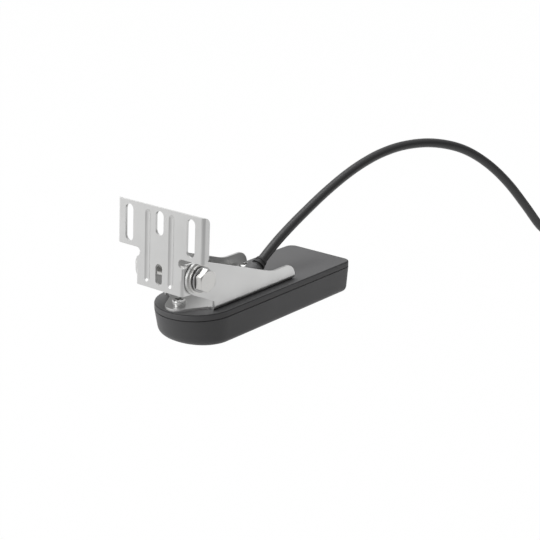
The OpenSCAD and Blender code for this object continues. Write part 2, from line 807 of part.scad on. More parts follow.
// Closed strap round the bundle of turns
module coil_tie() {
    inner = sqrt(pow(coil_r - coil_w / 2, 2) - pow(tie_w / 2, 2)) - tie_gap;
    outer = coil_r + coil_w / 2 + tie_gap;
    high = tie_lift + coil_h + tie_gap;
    color("#161616") translate(coil_at) rotate(tie_angle) translate([0, tie_w / 2, 0]) rotate([90, 0, 0])
        linear_extrude(tie_w) difference() {
            translate([inner - tie_t, 0]) square([outer - inner + 2 * tie_t, high + tie_t]);
            translate([inner, tie_t]) square([outer - inner, high - tie_t]);
        }
}

// Plug, its axis along +Y

module at_plug(y) {
    translate([plug_x, plug_y + y, plug_z]) rotate([-90, 0, 0]) children();
}

// Places a copy at each contact
module at_contacts() {
    for (i = [0:contacts - 1]) rotate(360 * i / contacts + contact_turn)
        translate([contact_pcd / 2, 0, contact_floor]) children();
}

module connector_body() {
    color("#1d1d1e") at_plug(0) difference() {
        union() {
            cylinder(h = plug_tail_l, d1 = cable_d + 2 * plug_tail_wall, d2 = barrel_d - plug_tail_wall);
            translate([0, 0, plug_tail_l]) cylinder(h = shoulder_t, d = shoulder_d);
            translate([0, 0, plug_tail_l]) cylinder(h = barrel_l, d = barrel_d);
        }
        translate([0, 0, insert_y]) cylinder(h = insert_face_l + past, d = insert_face_d + 2 * insert_gap);
    }
}

module connector_insert() {
    color("#3b3b3c") at_plug(insert_y) difference() {
        cylinder(h = insert_face_l, d = insert_face_d);
        at_contacts() cylinder(h = insert_face_l, d = contact_d + 2 * insert_gap);
    }
}

// Hollow contacts, a little below the insert's face
module connector_contacts() {
    contact_l = insert_face_l - contact_floor - contact_sunk;
    color("#c9a24a") at_plug(insert_y) at_contacts() difference() {
        cylinder(h = contact_l, d = contact_d);
        translate([0, 0, contact_l / 3]) cylinder(h = contact_l, d = contact_d / 2);
    }
}

// Ring on the barrel's front face
module connector_seal() {
    color("#111111") at_plug(plug_tail_l + barrel_l) rotate_extrude()
        translate([barrel_d / 2 - ring_t / 2, ring_t / 2]) circle(ring_t / 2);
}

module locking_collar() {
    color("#262627") at_plug(plug_tail_l + shoulder_t + collar_side_gap) difference() {
        cylinder(h = collar_l, d = collar_d);
        translate([0, 0, -past]) cylinder(h = collar_l + 2 * past, r = barrel_d / 2 + collar_gap);
        for (i = [0:flutes - 1]) rotate(360 * i / flutes)
            translate([collar_d / 2 + flute_r / 2, 0, flute_rim])
                cylinder(h = collar_l - 2 * flute_rim, r = flute_r, $fn = 16);
    }
}

housing();
top_cover();
cover_seal();
screw_inserts();
sonar_disc();
disc_backing();
scan_bar();
bar_backing();
circuit_board();
temperature_probe();
transducer_bracket();
nose_screw();
nose_washer();
rear_screws();
rear_washers();
transom_bracket();
pivot_bolt();
bolt_washer();
spring_washer();
pivot_nut();
strain_relief();
cable();
cable_coil();
cable_tail();
coil_tie();
connector_body();
connector_insert();
connector_contacts();
connector_seal();
locking_collar();
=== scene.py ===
"""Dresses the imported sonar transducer: its cable with the stored coil and tie, the finishes of
the moulded, folded and turned pieces, and a plain white studio. Lengths are in metres and
angles in radians, except where a comment says millimetres and degrees."""

import math

import bmesh
import bpy
from bpy.props import FloatProperty, FloatVectorProperty, PointerProperty
from bpy.types import Operator, Panel, PropertyGroup
from mathutils import Matrix, Vector


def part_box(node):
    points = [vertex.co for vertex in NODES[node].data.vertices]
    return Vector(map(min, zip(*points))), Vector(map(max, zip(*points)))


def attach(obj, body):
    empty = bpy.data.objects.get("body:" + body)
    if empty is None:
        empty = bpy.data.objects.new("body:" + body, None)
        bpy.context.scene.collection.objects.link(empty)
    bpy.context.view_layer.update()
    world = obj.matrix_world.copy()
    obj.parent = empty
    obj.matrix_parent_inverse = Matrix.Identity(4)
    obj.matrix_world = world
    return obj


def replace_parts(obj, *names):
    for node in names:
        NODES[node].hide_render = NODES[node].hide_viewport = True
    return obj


bl_info = {
    "name": "Sonar Transducer Dressing",
    "version": (1, 0, 0),
    "blender": (4, 5, 0),
    "location": "View3D > Sidebar > Transducer",
    "description": "Cable, finishes and studio for a transom-mount sonar transducer",
    "category": "Object",
}

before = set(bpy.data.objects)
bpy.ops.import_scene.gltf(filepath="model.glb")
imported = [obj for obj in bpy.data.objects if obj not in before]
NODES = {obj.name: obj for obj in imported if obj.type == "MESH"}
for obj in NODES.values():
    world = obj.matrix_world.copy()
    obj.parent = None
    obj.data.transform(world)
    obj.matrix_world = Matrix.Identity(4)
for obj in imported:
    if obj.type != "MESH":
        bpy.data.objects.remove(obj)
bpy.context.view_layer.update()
BODY = "transducer"
MM = 0.001

# Top of the cover, and the fine dark line in its upper edge, which is painted shade along that edge: its
# radius and how far in it lies
COVER_TOP = 21 * MM
LINE_R = 0.36 * MM
LINE_IN = 0.5 * MM

# Radius of the pivot bolt's shank, and its thread: pitch, height, depth of its root and of its sleeve, and
# half its length
SHANK_R = 4 * MM
THREAD_PITCH = 1.25 * MM
THREAD_H = 0.22 * MM
THREAD_ROOT = 0.05 * MM
THREAD_SLEEVE = 0.5 * MM
THREAD_END = 16 * MM

# Split spring washer: thickness, chamfer, play round the shank, and where its split stands, in degrees
SPRING_T = 1.1 * MM
SPRING_EDGE = 0.2 * MM
SPRING_PLAY = 0.2 * MM
SPRING_SPLIT = 20

# The cable's route is in millimetres and degrees

# Where the cable leaves the boot, its rise there and its way
BOOT_END = Vector((12.0938, 0.0, 30.5063))
EXIT_RISE = 34
EXIT_DIR = Vector((math.cos(math.radians(EXIT_RISE)), 0.0, math.sin(math.radians(EXIT_RISE))))
# How far the cable reaches into the boot, and how far back lies the point that shapes its start
BOOT_HOLD = 3
BOOT_LEAD = 18
# The cable's free arch, from the boot to the coil's first turn
ARCH = [
    (25.5, 0, 38.4), (39, -0.3, 45.4), (52, -1.2, 52), (69, -3.2, 60.8), (86, -6.1, 69), (101, -9.5, 75.2),
    (116, -13.7, 79.8), (132, -19, 82.3), (150, -26, 82), (167, -33.5, 78.2), (181, -40.3, 71.8),
    (195, -47.7, 61.2), (208.5, -55, 47), (221.5, -62.2, 29.5), (233, -68.3, 13.5), (242.5, -72.6, 6),
    (253, -76.4, 3.4), (268, -79.2, 3), (290, -80, 3), (315, -80, 3), (340, -80, 3), (365, -80, 3),
    (390, -80, 3), (410, -80, 3),
]
# Stored coil: its middle, the angles at which it starts and ends, its turns across and its layers
COIL_AT = Vector((424, -30, 0))
COIL_START = 270
COIL_END = 8450
COIL_ACROSS = 5
COIL_LAYERS = 5
# Angle over which a turn moves across, or up, by one place
COIL_SHIFT = 60
# Tie: its angle round the coil and its play. The turns start to rise RISE_FROM away from it, and are up
# after RISE_ARC more
TIE_ANGLE = 100
TIE_GAP = 0.3
RISE_FROM = 34
RISE_ARC = 22
# From the inner turn up over the top turns to the plug: angle, radius and height
TAIL = [(200, 26, 30), (230, 26, 33), (260, 28.6, 33), (290, 33.4, 33), (315, 35.6, 34), (332, 36.2, 37)]
# Where the cable enters the plug and its way there, how far it reaches in, and how far on lies the point
# that shapes its end
PLUG_AT = Vector((460, -38, 39.2))
PLUG_WAY = Vector((0.0, 1.0, 0.0))
PLUG_HOLD = 6
PLUG_LEAD = 10

# Strap of the tie: radius of its bends, chamfer, and how far its lap stands out, in thicknesses
STRAP_CORNER = 2.6 * MM
STRAP_EDGE = 0.25 * MM
STRAP_LAP = 1.05

# Fine lines in metal, as cells per metre along X, Y and Z: drawn along an axis, turned about one, or even
DRAWN_X = Vector((60, 2200, 2200))
DRAWN_Z = Vector((2200, 2200, 60))
TURNED_Y = Vector((150, 1500, 150))
TURNED_Z = Vector((300, 300, 1800))
EVEN = Vector((900, 900, 900))
# Height of a moulding's grain and of a metal's lines
GRAIN_RISE = 0.2 * MM
LINE_RISE = 0.1 * MM
# Cosine to the way at which a face starts to take the facing colour, which is painted light or shade, and
# the facing roughness, and at which it has all of it
FACING_FROM = 0.8
FACING_FULL = 0.95
# Sockets of a Mix node that mixes colours
MIX_A = 6
MIX_B = 7
MIX_RESULT = 2
WHITE = (1.0, 1.0, 1.0, 1.0)

# Stage: half the floor's side, its drop below the underside, its roughness, and the lamps
FLOOR_HALF = 6.0
FLOOR_DROP = 0.0003
FLOOR_ROUGH = 0.9
KEY_AT = Vector((-0.25, 0.3, 1.05))
KEY_SIZE = 0.9
SIDE_AT = Vector((-1.1, 0.35, 0.55))
SIDE_SIZE = 0.6
LAMP_AIM = Vector((0.0, 0.0, 0.03))
# Width of the camera's sensor in millimetres, and the range that it sees
SENSOR = 36.0
NEAR = 0.01
FAR = 100.0


# Settings

class SONAR_PG_cable(PropertyGroup):
    """Sizes of the cable, its stored coil and its tie"""
    diameter: FloatProperty(
        name="Diameter", description="Diameter of the cable's jacket",
        default=0.006, min=0.004, max=0.008, unit="LENGTH")
    length: FloatProperty(
        name="Length", description="Length of cable from the boot to the plug",
        default=6.0, min=3.0, max=8.0, unit="LENGTH")
    coil_radius: FloatProperty(
        name="Coil radius", description="Mean radius of the stored turns",
        default=0.038, min=0.03, max=0.06, unit="LENGTH")
    turn_step: FloatProperty(
        name="Turn step", description="Angle between two points of a stored turn",
        default=math.radians(6), min=math.radians(2), max=math.radians(15), subtype="ANGLE")
    tie_lift: FloatProperty(
        name="Lift at the tie", description="How far the turns rise over the tie",
        default=0.0015, min=0.0, max=0.004, unit="LENGTH")
    tie_width: FloatProperty(
        name="Tie width", description="Width of the strap round the coil",
        default=0.012, min=0.008, max=0.016, unit="LENGTH")
    tie_thick: FloatProperty(
        name="Tie thickness", description="Thickness of the strap round the coil",
        default=0.0012, min=0.0006, max=0.002, unit="LENGTH")


class SONAR_PG_housing(PropertyGroup):
    """Sizes of the moulded housing's wall and lower edge"""
    lower_radius: FloatProperty(
        name="Lower radius", description="Radius of the lower edge along the sides and the tail",
        default=0.0042, min=0.003, max=0.006, unit="LENGTH")
    side_lean: FloatProperty(
        name="Side lean", description="Lean of the walls along the sides and the tail",
        default=math.radians(4.5), min=0.0, max=math.radians(10), subtype="ANGLE")
    nose_radius: FloatProperty(
        name="Nose radius", description="Radius of the lower edge at the tip of the nose",
        default=0.009, min=0.004, max=0.012, unit="LENGTH")
    nose_lean: FloatProperty(
        name="Nose lean", description="Lean of the wall at the tip of the nose",
        default=math.radians(10.5), min=0.0, max=math.radians(20), subtype="ANGLE")
    nose_fade: FloatProperty(
        name="Nose fade", description="Length of wall, from the tip, in which the nose fades into the sides",
        default=0.043, min=0.03, max=0.08, unit="LENGTH")
    tail_foot: FloatProperty(
        name="Tail foot", description="Plan radius of the tail corners at the underside",
        default=0.0003, min=0.0001, max=0.003, unit="LENGTH")
    wall: FloatProperty(
        name="Wall", description="Thickness of the housing's wall",
        default=0.0026, min=0.002, max=0.004, unit="LENGTH")
    floor: FloatProperty(
        name="Floor", description="Thickness of the housing's underside",
        default=0.003, min=0.002, max=0.004, unit="LENGTH")


def colour(name, description, default):
    """A colour that a user can change."""
    return FloatVectorProperty(
        name=name, description=description, default=default, size=3, min=0.0, max=1.0, subtype="COLOR")


class SONAR_PG_finish(PropertyGroup):
    """Colours of the pieces"""
    housing: colour("Housing", "Moulded lower housing", (0.075, 0.075, 0.077))
    cover: colour("Cover", "Moulded lid of the housing", (0.098, 0.098, 0.1))
    steel: colour("Plate steel", "Folded transom bracket", (0.62, 0.62, 0.615))
    ear: colour("Ear steel", "Folded bracket on the cover", (0.655, 0.655, 0.65))
    # Tongue steel is painted shade: the cover's bracket is darker on its upward faces
    tongue_shade: colour("Tongue steel", "Upward faces of the bracket on the cover", (0.56, 0.56, 0.555))
    # Cut edge is a painted highlight on the transom bracket's upward faces, which also take the rougher
    # finish of a sheared edge
    edge: colour("Cut edge", "Sheared upper edges of the transom bracket", (0.7, 0.7, 0.695))
    bolt: colour("Bolt steel", "Pivot bolt, its nut and its flat washer", (0.64, 0.635, 0.62))
    screw: colour("Screw steel", "Bracket screws and their washers", (0.55, 0.55, 0.545))
    cable: colour("Cable jacket", "Cable and its boot", (0.022, 0.022, 0.023))
    plug: colour("Plug", "Moulded plug and its collar", (0.03, 0.03, 0.032))
    seal: colour("Seal", "Rubber rings and the coil's strap", (0.012, 0.012, 0.012))
    spring: colour("Spring steel", "Spring washer under the bolt's head", (0.4, 0.4, 0.4))
    brass: colour("Brass", "Threaded inserts, contacts and temperature sensor", (0.62, 0.47, 0.22))
    ceramic: colour("Ceramic", "Sonar elements", (0.5, 0.44, 0.34))
    foam: colour("Foam", "Backing of the sonar elements", (0.2, 0.2, 0.19))
    board: colour("Board", "Circuit board", (0.03, 0.16, 0.07))


class SONAR_PG_stage(PropertyGroup):
    """Place of the camera and levels of the studio's light"""
    eye: FloatVectorProperty(
        name="Eye", description="Place of the camera",
        default=(-0.56268, -0.49225, 0.2882), size=3, subtype="TRANSLATION", unit="LENGTH")
    azimuth: FloatProperty(
        name="Azimuth", description="Camera's turn round the upright axis",
        default=math.radians(-49.7995), subtype="ANGLE")
    elevation: FloatProperty(
        name="Elevation", description="Camera's rise above the floor",
        default=math.radians(19.2452), subtype="ANGLE")
    lens: FloatProperty(
        name="Lens", description="Focal length in millimetres",
        default=87.497, min=20.0, max=200.0, unit="CAMERA")
    fill: FloatProperty(
        name="Fill", description="Level of the soft light from all round",
        default=0.5, min=0.0, max=2.0)
    dim: FloatProperty(
        name="Dim side", description="Level of the surround on its dim side, as a share of its bright side",
        default=0.25, min=0.0, max=1.0, subtype="FACTOR")
    bright_side: FloatVectorProperty(
        name="Bright side", description="Way to the bright side of the surround",
        default=(-0.2, 0.75, 0.63), size=3, subtype="DIRECTION")
    key: FloatProperty(
        name="Key", description="Power of the large lamp overhead",
        default=9.0, min=0.0, max=50.0, unit="POWER")
    side: FloatProperty(
        name="Side", description="Power of the lamp at the camera's left",
        default=4.0, min=0.0, max=50.0, unit="POWER")
    floor_way: FloatVectorProperty(
        name="Floor way", description="Way along the floor to its bright side",
        default=(0.7, 0.714, 0.0), size=3, subtype="DIRECTION")
    floor_from: FloatProperty(
        name="Floor from", description="Where along that way the floor is dimmest",
        default=-0.26, min=-2.0, max=2.0, unit="LENGTH")
    floor_to: FloatProperty(
        name="Floor to", description="Where along that way the floor is brightest",
        default=0.2, min=-2.0, max=2.0, unit="LENGTH")
    floor_dim: FloatProperty(
        name="Floor dim", description="Level of the floor that metal mirrors on the dim side",
        default=0.6, min=0.0, max=2.0)
    floor_bright: FloatProperty(
        name="Floor bright", description="Level of the floor that metal mirrors on the bright side",
        default=1.54, min=0.0, max=2.0)
    white: FloatProperty(
        name="White", description="Level of the floor that the eye sees",
        default=1.014, min=0.9, max=1.1)
    bounce: FloatProperty(
        name="Bounce", description="Share of light that the floor throws back",
        default=0.2, min=0.0, max=1.0, subtype="FACTOR")
    shadow: FloatProperty(
        name="Shadow", description="How much of its shading the floor shows",
        default=0.02, min=0.0, max=1.0, subtype="FACTOR")
    mirror: FloatProperty(
        name="Mirror", description="How much of the floor's white the metal mirrors",
        default=0.9, min=0.0, max=1.0, subtype="FACTOR")


class SONAR_PG_part(PropertyGroup):
    """All the settings of the dressed transducer"""
    cable: PointerProperty(name="Cable", description="Sizes of the cable", type=SONAR_PG_cable)
    housing: PointerProperty(name="Housing", description="Sizes of the housing", type=SONAR_PG_housing)
    finish: PointerProperty(name="Finish", description="Colours of the pieces", type=SONAR_PG_finish)
    stage: PointerProperty(name="Stage", description="Camera and light", type=SONAR_PG_stage)


# Shader building

def add(tree, kind, values=None, **settings):
    """Adds a shader node, sets its attributes, then its inputs: a socket is linked, else a value is set."""
    made = tree.nodes.new(kind)
    for key, value in settings.items():
        setattr(made, key, value)
    for key, value in (values or {}).items():
        if isinstance(value, bpy.types.NodeSocket):
            tree.links.new(value, made.inputs[key])
        else:
            made.inputs[key].default_value = value
    return made


def calc(tree, operation, *values):
    """The result of a Math node."""
    return add(tree, "ShaderNodeMath", dict(enumerate(values)), operation=operation).outputs[0]


def dot(tree, a, b):
    """How far a vector reaches along a way."""
    return add(tree, "ShaderNodeVectorMath", {0: a, 1: b}, operation="DOT_PRODUCT").outputs["Value"]


def remap(tree, value, span=(0.0, 1.0), low=0.0, high=1.0, kind="LINEAR"):
    """Runs from low to high while the value runs over the span."""
    ends = {"Value": value, "From Min": span[0], "From Max": span[1], "To Min": low, "To Max": high}
    return add(tree, "ShaderNodeMapRange", ends, interpolation_type=kind).outputs["Result"]


def noise(tree, place, cells, detail, rough=0.5):
    """Noise over a place, with as many cells to the unit."""
    values = {"Vector": place, "Scale": cells, "Detail": detail, "Roughness": rough}
    return add(tree, "ShaderNodeTexNoise", values).outputs["Fac"]


def rgba(tint):
    """A colour with its alpha, as a socket takes it."""
    return (*tint, 1.0)


def group(name, inputs, outputs):
    """A shader node group with float, colour or vector inputs, and its two end nodes."""
    kinds = {float: "NodeSocketFloat", tuple: "NodeSocketColor", Vector: "NodeSocketVector"}
    tree = bpy.data.node_groups.new(name, "ShaderNodeTree")
    for key, value in inputs.items():
        made = tree.interface.new_socket(key, in_out="INPUT", socket_type=kinds[type(value)])
        made.default_value = value
    for key, kind in outputs.items():
        tree.interface.new_socket(key, in_out="OUTPUT", socket_type=kinds[kind])
    return tree, tree.nodes.new("NodeGroupInput").outputs, tree.nodes.new("NodeGroupOutput").inputs


def vary_finish(tree, given, out, fine, broad, depth, swing):
    """Varies a group's colour and roughness by two noises, and puts the fine one out as its height."""
    both = calc(tree, "ADD", fine, broad)
    spread = calc(tree, "ADD", both, -1.0)
    gain = calc(tree, "MULTIPLY_ADD", spread, depth, 1.0)
    tint = add(tree, "ShaderNodeVectorMath", {0: given["Colour"], "Scale": gain}, operation="SCALE")
    rough = calc(tree, "MULTIPLY_ADD", spread, swing, given["Roughness"])
    tree.links.new(tint.outputs["Vector"], out["Colour"])
    tree.links.new(rough, out["Roughness"])
    tree.links.new(fine, out["Height"])


def mould_grain():
    """Fine spark-eroded grain of a moulding: colour, roughness and height."""
    if "mould_grain" in bpy.data.node_groups:
        return bpy.data.node_groups["mould_grain"]
    tree, given, out = group(
        "mould_grain", {"Colour": (0.1, 0.1, 0.1, 1.0), "Cell": 2200.0, "Roughness": 0.55, "Mottle": 0.1},
        {"Colour": tuple, "Roughness": float, "Height": float})
    place = add(tree, "ShaderNodeTexCoord").outputs["Object"]
    fine = noise(tree, place, given["Cell"], detail=3.0, rough=0.6)
    broad = noise(tree, place, cells=60.0, detail=4.0)
    vary_finish(tree, given, out, fine, broad, given["Mottle"], swing=0.12)
    return tree


def brushed_lines():
    """Fine parallel lines left by brushing or rolling: colour, roughness and height."""
    if "brushed_lines" in bpy.data.node_groups:
        return bpy.data.node_groups["brushed_lines"]
    tree, given, out = group(
        "brushed_lines", {"Colour": (0.6, 0.6, 0.6, 1.0), "Stretch": Vector((1.0, 1.0, 1.0)),
                          "Roughness": 0.34, "Depth": 0.1},
        {"Colour": tuple, "Roughness": float, "Height": float})
    place = add(tree, "ShaderNodeTexCoord").outputs["Object"]
    drawn = add(tree, "ShaderNodeVectorMath", {0: place, 1: given["Stretch"]}, operation="MULTIPLY")
    lines = noise(tree, drawn.outputs["Vector"], cells=1.0, detail=5.0, rough=0.7)
    cloud = noise(tree, place, cells=75.0, detail=3.0)
    vary_finish(tree, given, out, lines, cloud, given["Depth"], swing=0.25)
    return tree


def facing_light_and_finish():
    """Colour and roughness of the faces that face along a way, such as sheared edges, over a sheet's own.
    The colour is painted light or shade by the way a face turns.
    """
    if "facing_light_and_finish" in bpy.data.node_groups:
        return bpy.data.node_groups["facing_light_and_finish"]
    tree, given, out = group(
        "facing_light_and_finish", {"Way": Vector((0.0, 0.0, 1.0)), "Colour": (0.6, 0.6, 0.6, 1.0), "Roughness": 0.3,
                          "Facing colour": (0.7, 0.7, 0.7, 1.0), "Facing roughness": 0.48},
        {"Colour": tuple, "Roughness": float})
    normal = add(tree, "ShaderNodeTexCoord").outputs["Normal"]
    # Faces that turn to the way take the facing colour: painted light or shade by how a face turns
    mask = remap(tree, dot(tree, normal, given["Way"]), span=(FACING_FROM, FACING_FULL))
    mixed = {"Factor": mask, MIX_A: given["Colour"], MIX_B: given["Facing colour"]}
    tint = add(tree, "ShaderNodeMix", mixed, data_type="RGBA")
    rough = remap(tree, mask, low=given["Roughness"], high=given["Facing roughness"])
    tree.links.new(tint.outputs[MIX_RESULT], out["Colour"])
    tree.links.new(rough, out["Roughness"])
    return tree


# Materials

def surface(name, tree_group, values, bump, distance, metallic=0.0):
    """A material whose Principled BSDF takes colour, roughness and bump from a shared group."""
    made = bpy.data.materials.new(name)
    made.use_nodes = True
    tree = made.node_tree
    shader = tree.nodes["Principled BSDF"]
    shader.inputs["Metallic"].default_value = metallic
    effect = add(tree, "ShaderNodeGroup", node_tree=tree_group)
    for key, value in values.items():
        effect.inputs[key].default_value = value
    rise = add(tree, "ShaderNodeBump", {"Strength": bump, "Distance": distance,
                                        "Height": effect.outputs["Height"]})
    tree.links.new(effect.outputs["Colour"], shader.inputs["Base Color"])
    tree.links.new(effect.outputs["Roughness"], shader.inputs["Roughness"])
    tree.links.new(rise.outputs["Normal"], shader.inputs["Normal"])
    return made


def moulded(name, tint, rough=0.55, cell=2200.0, bump=0.25, mottle=0.1):
    """A moulded, rubber or woven material, with its grain in cells per metre."""
    values = {"Colour": rgba(tint), "Cell": cell, "Roughness": rough, "Mottle": mottle}
    return surface(name, mould_grain(), values, bump, GRAIN_RISE)


def metal(name, tint, stretch, rough=0.34, depth=0.1, bump=0.12):
    """A bare metal with fine lines."""
    values = {"Colour": rgba(tint), "Stretch": stretch, "Roughness": rough, "Depth": depth}
    return surface(name, brushed_lines(), values, bump, LINE_RISE, metallic=1.0)


def paint_upper_light_and_finish(made, tint, rough):
    """Gives a sheet material's upward faces a colour of their own, painted light or shade, and a roughness
    of their own.
    """
    tree = made.node_tree
    shader = tree.nodes["Principled BSDF"]
    effect = add(tree, "ShaderNodeGroup", node_tree=facing_light_and_finish())
    effect.inputs["Facing colour"].default_value = rgba(tint)
    effect.inputs["Facing roughness"].default_value = rough
    for name, target in (("Colour", "Base Color"), ("Roughness", "Roughness")):
        source = shader.inputs[target].links[0].from_socket
        tree.links.new(source, effect.inputs[name])
        tree.links.new(effect.outputs[name], shader.inputs[target])
    return made


# Pieces

def dress(finish, *names):
    """Gives CAD nodes their material."""
    for name in names:
        mesh = NODES[name].data
        mesh.materials.clear()
        mesh.materials.append(finish)


def new_piece(name, shape, finish, body):
    """A piece of the scene's own that rides on a body."""
    made = bpy.data.objects.new(name, shape)
    bpy.context.scene.collection.objects.link(made)
    shape.materials.append(finish)
    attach(made, body)
    return made


def ease(x):
    """A smooth step from 0 to 1."""
    x = min(max(x, 0.0), 1.0)
    return x * x * (3 - 2 * x)


def closed_mesh(name, rings, caps, round_trip, sharp=35):
    """A mesh skinned over rings of as many points each. Caps close its ends, or it joins up with itself.
    Edges that turn by more than the sharp angle, in degrees, stay sharp."""
    mesh = bmesh.new()
    rows = [[mesh.verts.new(p) for p in ring] for ring in rings]
    pairs = list(zip(rows, rows[1:]))
    if round_trip:
        pairs.append((rows[-1], rows[0]))
    for low, high in pairs:
        for k in range(len(low)):
            mesh.faces.new((low[k - 1], low[k], high[k], high[k - 1]))
    if caps:
        mesh.faces.new(rows[0])
        mesh.faces.new(rows[-1])
    bmesh.ops.recalc_face_normals(mesh, faces=mesh.faces)
    shape = bpy.data.meshes.new(name)
    mesh.to_mesh(shape)
    mesh.free()
    shape.shade_smooth()
    shape.set_sharp_from_angle(angle=math.radians(sharp))
    return shape


# Cable

def through(points, before, after, steps=6):
    """A smooth line through the points, shaped at its ends by the points before and after it."""
    whole = [Vector(p) for p in (before, *points, after)]
    line = []
    for a, b, c, d in zip(whole, whole[1:], whole[2:], whole[3:]):
        for k in range(steps):
            t = k / steps
            line.append(0.5 * (2 * b + (c - a) * t + (2 * a - 5 * b + 4 * c - d) * t * t
                               + (3 * b - a - 3 * c + d) * t ** 3))
    return line


def coil_place(angle, radius, height, lift):
    """A point of a stored turn, raised where it passes over the tie."""
    off = (angle - TIE_ANGLE + 180) % 360 - 180
    rise = lift * ease((RISE_FROM - abs(off)) / RISE_ARC)
    a = math.radians(angle)
    return COIL_AT + Vector((radius * math.cos(a), radius * math.sin(a), height + rise))


def coil_line(radius, pitch, lift, step):
    """The stored turns: each layer is wound in or out by turns, then climbs to the next."""
    outermost = radius + (COIL_ACROSS - 1) / 2 * pitch
    moves = []
    for layer in range(COIL_LAYERS):
        first = COIL_START + 360 * (COIL_ACROSS * layer + 1) - 2 * COIL_SHIFT * layer
        inward = -1 if layer % 2 else 1
        for turn in range(COIL_ACROSS - 1):
            moves.append((first + 360 * turn - COIL_SHIFT, inward, 0))
        if layer < COIL_LAYERS - 1:
            moves.append((first + 360 * (COIL_ACROSS - 1) - 2 * COIL_SHIFT, 0, 1))
    line = []
    angle = COIL_START
    while angle <= COIL_END:
        inset, climb = 0.0, 0.0
        for start, inward, upward in moves:
            share = ease((angle - start) / COIL_SHIFT)
            inset += inward * share
            climb += upward * share
        line.append(coil_place(angle, outermost - inset * pitch, pitch / 2 + climb * pitch, lift))
        angle += step
    return line


def cable_line(settings):
    """The cable's whole centre line in millimetres, from inside the boot to inside the plug."""
    pitch = settings.diameter / MM
    step = math.degrees(settings.turn_step)
    coil = coil_line(settings.coil_radius / MM, pitch, settings.tie_lift / MM, step)
    start = BOOT_END - BOOT_HOLD * EXIT_DIR
    arch = through([start, *ARCH, coil[0]], start - BOOT_LEAD * EXIT_DIR, coil[2])
    climb = [coil_place(*p, 0.0) for p in TAIL]
    inside = PLUG_AT + PLUG_HOLD * PLUG_WAY
    tail = through([coil[-1], *climb, PLUG_AT, inside], coil[-3], inside + PLUG_LEAD * PLUG_WAY)
    return [*arch, *coil[:-1], *tail, inside]


class SONAR_OT_cable(Operator):
    """Lays the cable from its boot, over its arch and round the stored coil to the plug"""
    bl_idname = "sonar.cable"
    bl_label = "Cable"

    def execute(self, context):
        settings, tint = context.scene.sonar.cable, context.scene.sonar.finish.cable
        line = cable_line(settings)
        shape = bpy.data.curves.new("cable_run", "CURVE")
        shape.dimensions = "3D"
        shape.bevel_depth = settings.diameter / 2
        shape.bevel_resolution = 5
        shape.use_fill_caps = True
        spline = shape.splines.new("POLY")
        spline.points.add(len(line) - 1)
        for point, p in zip(spline.points, line):
            point.co = (*(p * MM), 1.0)
        spline.use_smooth = True
        jacket = moulded("cable_jacket", tint, rough=0.42, cell=1500.0, bump=0.12, mottle=0.14)
        made = new_piece("cable_run", shape, jacket, BODY)
        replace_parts(made, "cable", "cable_coil", "cable_tail")
        return {"FINISHED"}


# Housing

def half_outline(low, high, corner, arc=36, side=12, bend=10, tail=4):
    """Plan outline from the nose's tip along +Y to the tail's middle: point, way out, run from the tip."""
    half = high.y
    nose = Vector((low.x + half, 0.0))
    straight = high.x - corner - nose.x
    stations = []
    for k in range(arc + 1):
        a = math.pi / 2 * k / arc
        out = Vector((-math.cos(a), math.sin(a)))
        stations.append((nose + half * out, out, half * a))
    run = half * math.pi / 2
    for k in range(1, side + 1):
        x = straight * k / side
        stations.append((Vector((nose.x + x, half)), Vector((0.0, 1.0)), run + x))
    for k in range(1, bend + 1):
        a = math.pi / 2 * k / bend
        out = Vector((math.sin(a), math.cos(a)))
        stations.append((Vector((high.x - corner, half - corner)) + corner * out, out, run + straight))
    for k in range(1, tail + 1):
        y = (half - corner) * (1 - k / tail)
        stations.append((Vector((high.x, y)), Vector((1.0, 0.0)), run + straight))
    return stations


def outline(low, high, corner):
    """The whole plan outline, its second half mirrored from the first."""
    half = half_outline(low, high, corner)
    flip = Vector((1.0, -1.0))
    return half + [(p * flip, out * flip, run) for p, out, run in reversed(half[1:-1])]


def wall_foot(radius, lean, height):
    """How far in from the parting line the flat underside starts."""
    return (radius + (height - radius) * math.sin(lean)) / math.cos(lean)


def tail_corner(settings, height):
    """Plan radius of the tail corners at the parting line."""
    return wall_foot(settings.lower_radius, settings.side_lean, height) + settings.tail_foot


def wall_profile(radius, lean, height, flat=4, arc=12):
    """Inset and height of the wall's points, from the parting line down round the lower edge."""
    foot = wall_foot(radius, lean, height)
    turn = math.pi / 2 - lean
    low = [(foot - radius * math.sin(turn * k / arc), radius - radius * math.cos(turn * k / arc))
           for k in range(arc, -1, -1)]
    inset, rise = low[0]
    return [(inset * k / flat, height + (rise - height) * k / flat) for k in range(flat)] + low


def housing_rings(settings):
    """Rings of the housing, from its cavity's floor up over the rim and down to the underside."""
    low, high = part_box("housing")
    height = high.z
    columns = []
    for point, out, run in outline(low, high, tail_corner(settings, height)):
        share = 1 - ease(run / settings.nose_fade)
        radius = settings.lower_radius + share * (settings.nose_radius - settings.lower_radius)
        lean = settings.side_lean + share * (settings.nose_lean - settings.side_lean)
        drop = radius - settings.floor
        at_floor = wall_foot(radius, lean, height) - math.sqrt(radius ** 2 - drop ** 2)
        inside = [(at_floor + settings.wall, settings.floor), (settings.wall, height - settings.floor),
                  (settings.wall, height)]
        profile = wall_profile(radius, lean, height)
        columns.append([(*(point - out * inset), rise) for inset, rise in inside + profile])
    return list(zip(*columns))


def painted_shade_line_rings(settings, sides=8):
    """A fine dark round line sunk in the cover's upper edge, all the way round: painted shade along the
    edge.
    """
    low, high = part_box("housing")
    rings = []
    for point, out, _ in outline(low, high, tail_corner(settings, high.z)):
        ring = []
        for k in range(sides):
            a = 2 * math.pi * k / sides
            reach = LINE_IN - LINE_R * math.cos(a)
            ring.append((*(point - out * reach), COVER_TOP - LINE_IN + LINE_R * math.sin(a)))
        rings.append(ring)
    return rings


